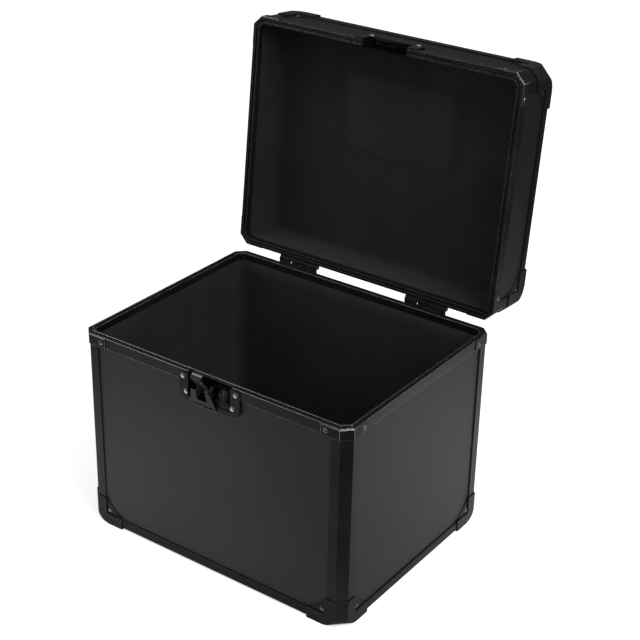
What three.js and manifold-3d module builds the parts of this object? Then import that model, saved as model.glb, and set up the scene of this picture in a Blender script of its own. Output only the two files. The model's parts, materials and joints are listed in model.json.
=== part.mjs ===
// Record carrying case: a panelled body in black metal edge trims, a shallow hinged lid, a recessed
// draw latch with a key lock, two stop hinges and a recessed carry handle in the lid.
// Millimetres, +Z up, the latch faces -Y. The lid stands open on its stop hinges.

import * as THREE from 'three';
import { mergeVertices } from 'three/addons/utils/BufferGeometryUtils.js';
import Module from 'manifold-3d';

const wasm = await Module();
wasm.setup();

// Overall case
const caseWidth = 389;
const caseDepth = 304;
const bodyHeight = 268.2;
const lidHeight = 73.7;
const openAngle = THREE.MathUtils.degToRad(96);

// Clearances
const seatGap = 0.3;
const partingGap = 0.5;
const runningGap = 0.3;
const overrun = 3;

// Panels, lining and edge trims
const panelThickness = 5;
const liningThickness = 1.5;
const trimWall = 1.3;
const cornerChamfer = 11;
const cornerLegWidth = 12.5;
const cornerCore = 12;
const edgeLegWidth = 12.5;

// Rims around the opening
const rimLegHeight = 14;
const rimWeb = 1.5;
const rimInnerWall = 1.1;
const rimInnerHeight = 10;
const tongueHeight = 2.6;
const tongueThickness = 2;
const tongueInset = 3.6;
const tongueBackGap = 20;
const grooveClearance = 0.3;
const grooveWall = 0.9;

// Corner caps and rim brackets
const capThickness = 1;
const capRound = 13;
const capRise = 36.7;
const capReach = 50;
const capWebThickness = 0.8;
const capRivetIn = 29;
const capRivetUp = 19;
const webHollowShare = 0.36;
const bracketReach = 25;
const bracketMargin = 0.8;

// Rivet heads
const rivetRadius = 3;
const rivetHeight = 1.3;
const rivetSink = 0.5;

// Latch base and its recess
const latchCentre = 2.4;
const latchWidth = 88;
const latchDrop = 38;
const latchTopMargin = 2.5;
const latchCornerRadius = 12;
const latchTopRadius = 3;
const latchPlate = 1.4;
const recessHalfWidth = 31.2;
const recessDrop = 33;
const recessDepth = 9.3;
const recessWall = 1.2;
const cutClearance = 0.6;
const latchRivetTop = new THREE.Vector2(38.6, 7.6);
const latchRivetLow = new THREE.Vector2(34.1, 26.6);

// Latch mechanism
const mechanismOffset = -7.4;
const pivotDepth = 3.5;
const pivotDrop = 14;
const linkDepth = 4.5;
const linkDrop = 22.5;
const latchPinRadius = 1.45;
const lugHalfGap = 9.6;
const lugThickness = 2.2;
const lugRadius = 3.6;
const earThickness = 1.8;
const earRadius = 3.1;
const leverTopHalf = 13.6;
const leverBottomHalf = 19.5;
const leverPlate = 1.6;
const leverTopDrop = 16;
const leverNotchDrop = 29.5;
const leverNotchRadius = 2.5;
const leverLift = 5;
const leverLip = 1.6;
const hookPlate = 1.6;
const hookClawLip = 1.2;
const hookKnuckle = 2.9;
const hookArm = 2.8;
const hookBridge = 7;
const hookLean = THREE.MathUtils.degToRad(36);
const springWire = 0.45;
const springCurl = 2.35;
const springPitch = 1.45;
const springCurls = 5;
const springLegDown = 6.5;

// Key lock
const lockOffset = 18.1;
const lockDrop = 16;
const lockDepth = 3;
const lockTilt = THREE.MathUtils.degToRad(22.7);
const lockBlockLeft = 8.5;
const lockBezelRadius = 7.4;
const lockBezelHeight = 0.9;
const barrelRadius = 5;
const barrelLength = 5.2;
const barrelProud = 0.5;
const keywayWidth = 1.3;
const keywayLength = 5.4;
const keywayDepth = 2;

// Strike in the lid
const strikeRise = 31;
const strikeOpening = 20;
const strikeCornerRadius = 10;
const strikeRivet = new THREE.Vector2(34, 25.5);
const stapleOffset = -4.4;
const stapleHalfWidth = 14;
const stapleBar = 2.4;
const stapleDepth = 4;
const stapleRise = 10;
const hookLength = linkDrop + stapleRise + stapleBar / 2 + runningGap + hookPlate;
const hookClaw = hookPlate / 2 + runningGap * 2 + stapleBar + hookClawLip;

// Stop hinges
const hingeInset = 96;
const hingeSpread = caseWidth / 2 - hingeInset;
const hingeWidth = 60;
const hingeLeaf = 1.6;
const hingeLeafLength = 32;
const hingeAxisOut = 4.5;
const hingeAxisUp = 6;
const knuckleRadius = 3.2;
const hingePinRadius = 1.45;
const lidKnuckleHalf = 11.7;
const stopTailLength = 13;
const stopTailThickness = 1.7;
const hingeRivetSpacing = 38;
const hingeRivetFromEnd = 8;

// Carry handle in the lid
const handleForward = 45;
const dishWidth = 146;
const dishLength = 84;
const dishFlange = 13;
const dishFlangeRadius = 12;
const dishRadius = 6;
const dishPlate = 1.2;
const dishDepth = 11.5;
const handlePivotBack = 27;
const handlePivotDepth = 6;
const gripForward = 18;
const gripSink = 2.5;
const bailRadius = 3.5;
const bailHalfWidth = 54;
const bailBend = 9;
const bailStub = 8;
const handleLug = 7;
const handleLugHalf = 6;
const gripRadius = 8;
const gripWaist = 6.8;
const gripLength = 88;
const boreSides = 20;

// Depths that follow from the sizes above, measured in from the outer faces of the trims
const panelOuter = trimWall + seatGap;
const panelInner = panelOuter + panelThickness;
const liningOuter = panelInner + seatGap;
const liningInner = liningOuter + liningThickness;
const rimInner = liningOuter + rimInnerWall;
const panelEnd = cornerCore + seatGap;
const cornerLegEnd = cornerChamfer + cornerLegWidth;
const capInner = -seatGap;
const capOuter = -(seatGap + capThickness);
const edgeStart = cornerChamfer + capRound * Math.SQRT2 + seatGap;
const floorLevel = seatGap + capThickness;
const lidTop = bodyHeight + lidHeight;
const lidBase = bodyHeight + partingGap;
const hingeAxis = new THREE.Vector3(0, caseDepth / 2 + hingeAxisOut, bodyHeight + hingeAxisUp);

// Finishes
const trimFinish = { color: 0x1c1d1f, roughness: 0.42, metalness: 0.75 };
const panelFinish = { color: 0x18191a, roughness: 0.55, metalness: 0 };
const hardwareFinish = { color: 0x202124, roughness: 0.38, metalness: 0.7 };
const liningFinish = { color: 0x0c0c0d, roughness: 0.95, metalness: 0 };
const brightFinish = { color: 0x9a9ca0, roughness: 0.25, metalness: 1 };
const gripFinish = { color: 0x111112, roughness: 0.8, metalness: 0 };

function toSolid(geometry) {
  const bare = geometry.index ? geometry.toNonIndexed() : geometry.clone();
  bare.deleteAttribute('normal');
  bare.deleteAttribute('uv');
  const merged = mergeVertices(bare);
  const vertProperties = new Float32Array(merged.attributes.position.array);
  const triVerts = new Uint32Array(merged.index.array);
  return new wasm.Manifold(new wasm.Mesh({ numProp: 3, vertProperties, triVerts }));
}

function toGeometry(solid) {
  const mesh = solid.getMesh();
  const geometry = new THREE.BufferGeometry();
  geometry.setAttribute('position', new THREE.BufferAttribute(new Float32Array(mesh.vertProperties), 3));
  geometry.setIndex(new THREE.BufferAttribute(new Uint32Array(mesh.triVerts), 1));
  geometry.computeVertexNormals();
  return geometry;
}

function join(...solids) {
  return solids.reduce((whole, piece) => whole.add(piece));
}

function cut(solid, ...tools) {
  return tools.reduce((rest, tool) => rest.subtract(tool), solid);
}

function toShape(outline) {
  return outline instanceof THREE.Shape ? outline : new THREE.Shape(outline);
}

// A straight solid whose outline lies across the named axis: (x, y) for z, (x, z) for y, (y, z) for x
function prismGeometry(outline, low, high, axis = 'z', curveSegments = 8) {
  const options = { depth: high - low, bevelEnabled: false, curveSegments };
  const geometry = new THREE.ExtrudeGeometry(toShape(outline), options);
  const matrix = new THREE.Matrix4();
  const [unitX, unitY, unitZ] = [0, 1, 2].map((row) => new THREE.Vector3().setComponent(row, 1));
  if (axis === 'x') {
    matrix.makeBasis(unitY, unitZ, unitX).setPosition(low, 0, 0);
  } else if (axis === 'y') {
    matrix.makeBasis(unitX, unitZ, unitY.clone().negate()).setPosition(0, high, 0);
  } else {
    matrix.setPosition(0, 0, low);
  }
  return geometry.applyMatrix4(matrix);
}

function prism(outline, low, high, axis, curveSegments) {
  return toSolid(prismGeometry(outline, low, high, axis, curveSegments));
}

function points(...pairs) {
  return pairs.map(([u, v]) => new THREE.Vector2(u, v));
}

function box([x0, x1], [y0, y1], [z0, z1]) {
  const geometry = new THREE.BoxGeometry(x1 - x0, y1 - y0, z1 - z0);
  geometry.translate((x0 + x1) / 2, (y0 + y1) / 2, (z0 + z1) / 2);
  return toSolid(geometry);
}

// A round bar along X or Y through the given centre of its cross-section
function barGeometry(radius, low, high, axis, u, v, sides = boreSides) {
  const geometry = new THREE.CylinderGeometry(radius, radius, high - low, sides);
  if (axis === 'x') {
    geometry.rotateZ(-Math.PI / 2);
    geometry.translate((low + high) / 2, u, v);
  } else {
    geometry.translate(u, (low + high) / 2, v);
  }
  return geometry;
}

function bar(radius, low, high, axis, u, v, sides) {
  return toSolid(barGeometry(radius, low, high, axis, u, v, sides));
}

// A low domed rivet head on a face that looks to -Y
function rivet(x, y, z) {
  const profile = points(
    [0, -rivetSink],
    [rivetRadius, -rivetSink],
    [rivetRadius, rivetHeight / 3],
    [rivetRadius * Math.SQRT1_2, rivetHeight * Math.SQRT1_2],
    [0, rivetHeight],
  );
  const geometry = new THREE.LatheGeometry(profile, 12);
  geometry.rotateX(Math.PI);
  geometry.translate(x, y, z);
  return toSolid(geometry);
}

function roundedRectangle(halfWidth, halfLength, radius) {
  const shape = new THREE.Shape();
  shape.moveTo(-halfWidth + radius, -halfLength);
  shape.lineTo(halfWidth - radius, -halfLength);
  shape.absarc(halfWidth - radius, -halfLength + radius, radius, -Math.PI / 2, 0);
  shape.lineTo(halfWidth, halfLength - radius);
  shape.absarc(halfWidth - radius, halfLength - radius, radius, 0, Math.PI / 2);
  shape.lineTo(-halfWidth + radius, halfLength);
  shape.absarc(-halfWidth + radius, halfLength - radius, radius, Math.PI / 2, Math.PI);
  shape.lineTo(-halfWidth, -halfLength + radius);
  shape.absarc(-halfWidth + radius, -halfLength + radius, radius, Math.PI, Math.PI * 1.5);
  return shape;
}

// The plan outline of the case with its chamfered corners, moved in by an inset
function planOutline(inset) {
  const x = caseWidth / 2 - inset;
  const y = caseDepth / 2 - inset;
  const leg = cornerChamfer - inset * (2 - Math.SQRT2);
  return points(
    [-x + leg, -y], [x - leg, -y], [x, -y + leg], [x, y - leg],
    [x - leg, y], [-x + leg, y], [-x, y - leg], [-x, -y + leg],
  );
}

// A band that runs round the case between two insets
function band(outerInset, innerInset, low, high) {
  const shape = new THREE.Shape(planOutline(outerInset));
  shape.holes.push(new THREE.Path(planOutline(innerInset)));
  return prism(shape, low, high);
}

function addMesh(parent, name, shape, finish) {
  const geometry = shape instanceof THREE.BufferGeometry ? shape : toGeometry(shape);
  const mesh = new THREE.Mesh(geometry, new THREE.MeshStandardMaterial(finish));
  mesh.name = name;
  parent.add(mesh);
  return mesh;
}

// Each corner has a frame of its own: the origin on the corner, x and y running in along its faces
const corners = [
  { name: 'front_left', turn: 0, x: -caseWidth / 2, y: -caseDepth / 2 },
  { name: 'front_right', turn: Math.PI / 2, x: caseWidth / 2, y: -caseDepth / 2 },
  { name: 'back_right', turn: Math.PI, x: caseWidth / 2, y: caseDepth / 2 },
  { name: 'back_left', turn: -Math.PI / 2, x: -caseWidth / 2, y: caseDepth / 2 },
];

// Each side has a frame too: x runs along it from its middle and y runs in from its outer face
const sides = [
  { name: 'front', turn: 0, x: 0, y: -caseDepth / 2, span: caseWidth },
  { name: 'right', turn: Math.PI / 2, x: caseWidth / 2, y: 0, span: caseDepth },
  { name: 'back', turn: Math.PI, x: 0, y: caseDepth / 2, span: caseWidth },
  { name: 'left', turn: -Math.PI / 2, x: -caseWidth / 2, y: 0, span: caseDepth },
];

function turnedGroup(parent, place) {
  const group = new THREE.Group();
  group.position.set(place.x, place.y, 0);
  group.rotation.z = place.turn;
  parent.add(group);
  return group;
}

// The lid's corner pieces are the body's turned over about the diagonal of the corner
function cornerHolder(parent, corner, overturned) {
  const group = turnedGroup(parent, corner);
  const holder = new THREE.Group();
  holder.position.z = overturned ? lidTop : floorLevel;
  if (overturned) {
    holder.quaternion.setFromAxisAngle(new THREE.Vector3(Math.SQRT1_2, Math.SQRT1_2, 0), Math.PI);
  }
  group.add(holder);
  return holder;
}

// Corner trim: two legs over the panels, a chamfered face and a solid core between the panel ends
function cornerTrim(low, high) {
  const outline = points(
    [cornerLegEnd, 0], [cornerChamfer, 0], [0, cornerChamfer], [0, cornerLegEnd],
    [trimWall, cornerLegEnd], [trimWall, cornerCore], [panelInner, cornerCore],
    [cornerCore, panelInner], [cornerCore, trimWall], [cornerLegEnd, trimWall],
  );
  return prismGeometry(outline, low, high);
}

// Edge trim along the foot of the body or the top of the lid, with a square core
function edgeTrim(side, overturned) {
  const level = overturned ? lidTop : floorLevel;
  const up = overturned ? -1 : 1;
  const section = [
    [edgeLegWidth, 0], [trimWall, 0], [0, trimWall], [0, edgeLegWidth],
    [trimWall, edgeLegWidth], [trimWall, panelInner], [panelInner, panelInner],
    [panelInner, trimWall], [edgeLegWidth, trimWall],
  ];
  const outline = points(...section.map(([inward, height]) => [inward, level + up * height]));
  const half = side.span / 2 - edgeStart;
  return prismGeometry(outline, -half, half, 'x');
}

// The bottom of the body or the top of the lid, cut back at its corners
function facePanel(level, up) {
  const x = caseWidth / 2 - liningOuter;
  const y = caseDepth / 2 - liningOuter;
  const leg = cornerChamfer + capRound * (2 - Math.SQRT2) + panelThickness - liningOuter;
  const outline = points(
    [-x + leg, -y], [x - leg, -y], [x, -y + leg], [x, y - leg],
    [x - leg, y], [-x + leg, y], [-x, y - leg], [-x, -y + leg],
  );
  const ends = [level + up * panelOuter, level + up * panelInner].sort((a, b) => a - b);
  return prism(outline, ends[0], ends[1]);
}

function sidePanel(side, low, high) {
  const half = side.span / 2 - panelEnd;
  return box([-half, half], [panelOuter, panelInner], [low, high]);
}

// Lining: a thin skin inside the panels, closed at one end
function liningShell(floorEnd, mouthEnd) {
  const into = Math.sign(mouthEnd - floorEnd);
  const floorInside = floorEnd + into * liningThickness;
  const outer = [floorEnd, mouthEnd].sort((a, b) => a - b);
  const inner = [floorInside, mouthEnd + into * overrun].sort((a, b) => a - b);
  return cut(
    prism(planOutline(liningOuter), outer[0], outer[1]),
    prism(planOutline(liningInner), inner[0], inner[1]),
  );
}

// The quarter round that sweeps the corner of a cap up from its chamfered face
function capRoundCutter(offset) {
  const far = capRound + offset + overrun;
  const shape = new THREE.Shape();
  shape.moveTo(capRound, -offset);
  shape.absarc(capRound, capRound, capRound + offset, -Math.PI / 2, -Math.PI, true);
  shape.lineTo(capRound - far, capRound);
  shape.lineTo(capRound - far, capRound - far);
  shape.lineTo(capRound, capRound - far);
  const half = capReach + overrun;
  const geometry = prismGeometry(shape, -half, half, 'x', 5);
  geometry.rotateZ(-Math.PI / 4);
  geometry.translate(cornerChamfer / 2, cornerChamfer / 2, 0);
  return toSolid(geometry);
}

// The corner of the case as a block grown out by an offset, its foot swept up by the cap's round
function cornerBlock(offset, top) {
  const far = capReach + overrun;
  const start = cornerChamfer - offset * (Math.SQRT2 - 1);
  const outline = points([far, -offset], [start, -offset], [-offset, start], [-offset, far], [far, far]);
  return cut(prism(outline, -offset, top), capRoundCutter(offset));
}

// One riveted web of a cap, on the face that looks to -Y, with its joggle down to the panel
function capWeb() {
  const stepIn = cornerLegEnd + seatGap;
  const stepUp = edgeLegWidth + seatGap;
  const innerIn = stepIn + capThickness;
  const innerUp = stepUp + capThickness;
  const webFace = panelOuter - seatGap - capWebThickness;
  const upright = box([stepIn, innerIn], [capOuter, panelOuter - seatGap], [stepUp, capRise]);
  const level = box([stepIn, capReach], [capOuter, panelOuter - seatGap], [stepUp, innerUp]);
  const hollowIn = innerIn + (capReach - innerIn) * webHollowShare;
  const hollowUp = innerUp + (capRise - innerUp) * webHollowShare;
  const web = new THREE.Shape();
  web.moveTo(stepIn, stepUp);
  web.lineTo(capReach, stepUp);
  web.lineTo(capReach, innerUp);
  web.quadraticCurveTo(hollowIn, hollowUp, innerIn, capRise);
  web.lineTo(stepIn, capRise);
  return join(
    upright,
    level,
    prism(web, webFace, panelOuter - seatGap, 'y', 8),
    rivet(capRivetIn, webFace, capRivetUp),
  );
}

function mirrorAcrossDiagonal(solid) {
  const geometry = toGeometry(solid);
  geometry.applyQuaternion(
    new THREE.Quaternion().setFromAxisAngle(new THREE.Vector3(Math.SQRT1_2, Math.SQRT1_2, 0), Math.PI),
  );
  return geometry;
}

// Swaps x and y and keeps z, for the twin web on the other face of the corner
function twinWeb(web) {
  const geometry = mirrorAcrossDiagonal(web);
  geometry.scale(1, 1, -1);
  const index = geometry.index.array;
  for (let corner = 0; corner < index.length; corner += 3) {
    [index[corner], index[corner + 1]] = [index[corner + 1], index[corner]];
  }
  return toSolid(geometry);
}

// The web of a cap on its flat face, between its two level arms
function capFlatWeb() {
  const step = edgeLegWidth + seatGap;
  const inner = step + capThickness;
  const hollow = inner + (capReach - inner) * webHollowShare;
  const web = new THREE.Shape();
  web.moveTo(step, step);
  web.lineTo(capReach, step);
  web.lineTo(capReach, inner);
  web.quadraticCurveTo(hollow, hollow, inner, capReach);
  web.lineTo(step, capReach);
  const underside = panelOuter - seatGap;
  return join(
    prism(web, underside - capWebThickness, underside, 'z', 8),
    box([step, capReach], [step, inner], [capOuter, underside]),
    box([step, inner], [step, capReach], [capOuter, underside]),
  );
}

// Corner cap: a pressed shell over three trims, with a riveted web on both upright faces
function cornerCap() {
  const armWide = cornerLegEnd + seatGap + capThickness;
  const armTall = edgeLegWidth + seatGap + capThickness;
  const out = -overrun;
  const shell = cut(cornerBlock(-capOuter, capRise), cornerBlock(-capInner, capRise + overrun));
  const arms = join(
    box([out, armWide], [out, armWide], [out, capRise + overrun]),
    box([out, capReach], [out, armTall], [out, armTall]),
    box([out, armTall], [out, capReach], [out, armTall]),
  );
  const web = capWeb();
  return join(shell.intersect(arms), web, twinWeb(web), capFlatWeb());
}

// Rim bracket: a strap round the corner of the rim with one rivet in each leg
function rimBracket(low, high) {
  const end = cornerChamfer + bracketReach;
  const outerStart = cornerChamfer + capOuter * (Math.SQRT2 - 1);
  const innerStart = cornerChamfer + capInner * (Math.SQRT2 - 1);
  const outline = points(
    [end, capOuter], [outerStart, capOuter], [capOuter, outerStart], [capOuter, end],
    [capInner, end], [capInner, innerStart], [innerStart, capInner], [end, capInner],
  );
  const middle = (low + high) / 2;
  const head = rivet(cornerChamfer + bracketReach * 0.74, capOuter, middle);
  const lowered = toSolid(toGeometry(head).translate(0, 0, -middle));
  const twin = toSolid(toGeometry(twinWeb(lowered)).translate(0, 0, middle));
  return join(prism(outline, low, high), head, twin);
}

// The gap in the rims, panels and linings that the latch and strike recesses pass through
function recessCut(low, high, inward) {
  const half = recessHalfWidth + recessWall + cutClearance;
  const front = -caseDepth / 2;
  return box([latchCentre - half, latchCentre + half], [front - overrun, front + inward], [low, high]);
}

// Body rim: a leg outside the panels, a web over them and a leg inside, cut away for the latch, and a
// tongue that runs on across the recess and stops short of the hinges, where the lid's rim swings past
function bodyRim() {
  const top = bodyHeight;
  const frame = join(
    band(0, trimWall, top - rimLegHeight, top),
    band(0, rimInner, top - rimWeb, top),
    band(liningOuter, rimInner, top - rimInnerHeight, top),
  );
  const tongue = band(tongueInset, tongueInset + tongueThickness, top - rimWeb, top + tongueHeight);
  const x = caseWidth / 2 + overrun;
  const y = caseDepth / 2;
  const cutHeights = [top - rimWeb / 2, top + tongueHeight + overrun];
  const backCut = box([-x, x], [y - tongueBackGap, y + overrun], cutHeights);
  const inward = rimInner + overrun;
  return join(
    cut(frame, recessCut(top - rimLegHeight - overrun, top + overrun, inward)),
    cut(tongue, backCut),
  );
}

// Lid rim: the same frame with a groove that drops over the tongue
function lidRim() {
  const grooveTop = bodyHeight + tongueHeight + grooveClearance;
  const webTop = grooveTop + rimWeb;
  const grooveOuter = tongueInset - grooveClearance;
  const grooveInner = tongueInset + tongueThickness + grooveClearance;
  const frame = join(
    band(0, trimWall, lidBase, bodyHeight + rimLegHeight),
    band(0, grooveOuter, lidBase, lidBase + trimWall),
    band(grooveOuter - grooveWall, grooveOuter, lidBase, webTop),
    band(0, rimInner, grooveTop, webTop),
    band(grooveInner, rimInner, lidBase, webTop),
    band(liningOuter, rimInner, lidBase, bodyHeight + rimInnerHeight),
  );
  const inward = rimInner + overrun;
  return cut(frame, recessCut(lidBase - overrun, bodyHeight + rimLegHeight + overrun, inward));
}

function bodyPanels(parent) {
  const low = floorLevel + liningOuter;
  const high = bodyHeight - rimWeb - seatGap;
  addMesh(parent, 'bottom_panel', facePanel(floorLevel, 1), panelFinish);
  const cutLow = bodyHeight - recessDrop - recessWall - cutClearance;
  for (const side of sides) {
    const group = turnedGroup(parent, side);
    let panel = sidePanel(side, low, high);
    if (side.name === 'front') {
      const half = recessHalfWidth + recessWall + cutClearance;
      const edges = [latchCentre - half, latchCentre + half];
      panel = cut(panel, box(edges, [0, panelInner + overrun], [cutLow, high + overrun]));
    }
    addMesh(group, side.name + '_panel', panel, panelFinish);
    addMesh(group, 'bottom_edge_' + side.name, edgeTrim(side, false), trimFinish);
  }
}

function lidPanels(parent) {
  const grooveTop = bodyHeight + tongueHeight + grooveClearance;
  const low = grooveTop + rimWeb + seatGap;
  const high = lidTop - liningOuter;
  const halfWidth = dishWidth / 2 + cutClearance;
  const halfLength = dishLength / 2 + cutClearance;
  const hole = box(
    [-halfWidth, halfWidth],
    [-handleForward - halfLength, -handleForward + halfLength],
    [lidTop - panelInner - overrun, lidTop],
  );
  addMesh(parent, 'lid_top_panel', cut(facePanel(lidTop, -1), hole), panelFinish);
  const cutHigh = bodyHeight + strikeOpening + recessWall + cutClearance;
  for (const side of sides) {
    const group = turnedGroup(parent, side);
    let panel = sidePanel(side, low, high);
    if (side.name === 'front') {
      const half = recessHalfWidth + recessWall + cutClearance;
      const edges = [latchCentre - half, latchCentre + half];
      panel = cut(panel, box(edges, [0, panelInner + overrun], [low - overrun, cutHigh]));
    }
    addMesh(group, 'lid_' + side.name + '_panel', panel, panelFinish);
    addMesh(group, 'lid_edge_' + side.name, edgeTrim(side, true), trimFinish);
  }
}

function cornerPieces(parent, overturned) {
  const prefix = overturned ? 'lid_' : '';
  const capName = overturned ? 'lid_cap_' : 'bottom_cap_';
  const cap = toGeometry(cornerCap());
  const bracketLow = overturned ? lidBase + bracketMargin : bodyHeight - rimLegHeight;
  const bracketHigh = overturned ? bodyHeight + rimLegHeight : bodyHeight - bracketMargin;
  const bracket = toGeometry(rimBracket(bracketLow, bracketHigh));
  const height = overturned ? lidHeight : bodyHeight - floorLevel;
  const trim = cornerTrim(capRound, height - rimLegHeight - seatGap);
  for (const corner of corners) {
    const holder = cornerHolder(parent, corner, overturned);
    addMesh(holder, prefix + 'corner_trim_' + corner.name, trim.clone(), trimFinish);
    addMesh(holder, capName + corner.name, cap.clone(), hardwareFinish);
    const level = turnedGroup(parent, corner);
    addMesh(level, prefix + 'rim_bracket_' + corner.name, bracket.clone(), hardwareFinish);
  }
}

function bodyLining() {
  const floorEnd = floorLevel + liningOuter;
  const mouthEnd = bodyHeight - rimInnerHeight - seatGap;
  const cutLow = bodyHeight - recessDrop - recessWall - cutClearance * 2;
  return cut(
    liningShell(floorEnd, mouthEnd),
    recessCut(cutLow, mouthEnd + overrun, liningInner + overrun),
  );
}

// Lid lining: it swells inward over the back of the handle dish
function lidLining() {
  const roof = lidTop - liningOuter;
  const mouthEnd = bodyHeight + rimInnerHeight + seatGap;
  const halfWidth = dishWidth / 2 + cutClearance;
  const halfLength = dishLength / 2 + cutClearance;
  const dishBack = lidTop - panelOuter - dishDepth - dishPlate - seatGap;
  const bossOutline = roundedRectangle(
    halfWidth + liningThickness, halfLength + liningThickness, dishRadius + liningThickness,
  );
  const holeOutline = roundedRectangle(halfWidth, halfLength, dishRadius);
  const boss = prismGeometry(bossOutline, dishBack - liningThickness, roof - liningThickness / 2, 'z', 3);
  const hole = prismGeometry(holeOutline, dishBack, roof + overrun, 'z', 3);
  const cutHigh = bodyHeight + strikeOpening + recessWall + cutClearance * 2;
  return cut(
    join(liningShell(roof, mouthEnd), toSolid(boss.translate(0, -handleForward, 0))),
    toSolid(hole.translate(0, -handleForward, 0)),
    recessCut(mouthEnd - overrun, cutHigh, liningInner + overrun),
  );
}

// An upright plate outline with rounded far corners, from its near edge to its far edge
function plateOutline(near, far, nearRadius, farRadius) {
  const half = latchWidth / 2;
  const away = Math.sign(far - near);
  const shape = new THREE.Shape();
  shape.moveTo(-half + nearRadius, near);
  shape.lineTo(half - nearRadius, near);
  shape.quadraticCurveTo(half, near, half, near + away * nearRadius);
  shape.lineTo(half, far - away * farRadius);
  shape.quadraticCurveTo(half, far, half - farRadius, far);
  shape.lineTo(-half + farRadius, far);
  shape.quadraticCurveTo(-half, far, -half, far - away * farRadius);
  shape.lineTo(-half, near + away * nearRadius);
  shape.quadraticCurveTo(-half, near, -half + nearRadius, near);
  return shape;
}

const platesFront = -(seatGap + latchPlate);
const recessBack = recessDepth + recessWall;
const pivotHeight = bodyHeight - pivotDrop;
const linkHeight = bodyHeight - linkDrop;
const lockHeight = bodyHeight - lockDrop;

// The lock's own frame: its face looks out and up at the tilt of the lock block
function tiltToLock(geometry) {
  geometry.rotateX(-lockTilt);
  geometry.translate(lockOffset, lockDepth, lockHeight);
  return geometry;
}

// Latch base: a plate and deep recess, the lock's block and two lugs with the lever's pivot studs
function latchBase() {
  const top = bodyHeight;
  const backing = trimWall;
  const legLine = top - rimLegHeight - seatGap;
  const half = recessHalfWidth;
  const outline = plateOutline(top - latchTopMargin, top - latchDrop, latchTopRadius, latchCornerRadius);
  const wide = latchWidth / 2 + overrun;
  const plate = cut(
    prism(outline, platesFront, backing, 'y', 5),
    box([-wide, wide], [-seatGap, backing + overrun], [legLine, top + overrun]),
  );
  const low = top - recessDrop;
  const panTop = top - rimWeb - seatGap;
  const recess = box([-half, half], [platesFront - overrun, recessDepth], [low, top + overrun]);
  const pan = box(
    [-half - recessWall, half + recessWall],
    [platesFront, recessBack],
    [low - recessWall, panTop],
  );
  const slope = Math.tan(lockTilt);
  const blockTop = panTop - recessWall / 2;
  const slopeAt = (height) => lockDepth + (height - lockHeight) * slope;
  const footHeight = lockHeight - lockBezelRadius;
  const block = prism(
    points(
      [slopeAt(footHeight), low - recessWall / 2],
      [slopeAt(footHeight), footHeight],
      [Math.min(slopeAt(blockTop), recessDepth), blockTop],
      [recessBack - recessWall / 2, blockTop],
      [recessBack - recessWall / 2, low - recessWall / 2],
    ),
    lockBlockLeft,
    half + recessWall / 2,
    'x',
  );
  const lugOutline = points(
    [pivotDepth - lugRadius, pivotHeight - lugRadius],
    [pivotDepth - lugRadius, pivotHeight + lugRadius / 2],
    [pivotDepth - lugRadius / 2, pivotHeight + lugRadius],
    [recessBack - recessWall / 2, pivotHeight + lugRadius],
    [recessBack - recessWall / 2, pivotHeight - lugRadius],
  );
  const lugLeft = mechanismOffset - lugHalfGap;
  const lugRight = mechanismOffset + lugHalfGap;
  const lugs = join(
    prism(lugOutline, lugLeft - lugThickness, lugLeft, 'x'),
    prism(lugOutline, lugRight, lugRight + lugThickness, 'x'),
  );
  const bezel = tiltToLock(
    barGeometry(lockBezelRadius, -lockBezelHeight, recessWall, 'y', 0, 0, boreSides),
  );
  const bore = tiltToLock(
    barGeometry(barrelRadius + runningGap, -overrun, barrelLength + seatGap, 'y', 0, 0, boreSides),
  );
  const studEnd = lugHalfGap - runningGap - earThickness;
  const studLeft = [lugLeft - lugThickness / 2, mechanismOffset - studEnd];
  const studRight = [mechanismOffset + studEnd, lugRight + lugThickness / 2];
  const studs = join(
    bar(latchPinRadius, ...studLeft, 'x', pivotDepth, pivotHeight),
    bar(latchPinRadius, ...studRight, 'x', pivotDepth, pivotHeight),
  );
  const rivets = join(
    ...[-1, 1].flatMap((hand) => [
      rivet(hand * latchRivetTop.x, platesFront, top - latchRivetTop.y),
      rivet(hand * latchRivetLow.x, platesFront, top - latchRivetLow.y),
    ]),
  );
  const body = join(cut(join(plate, pan), recess), block, lugs, studs, toSolid(bezel), rivets);
  return cut(body, toSolid(bore));
}

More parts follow.
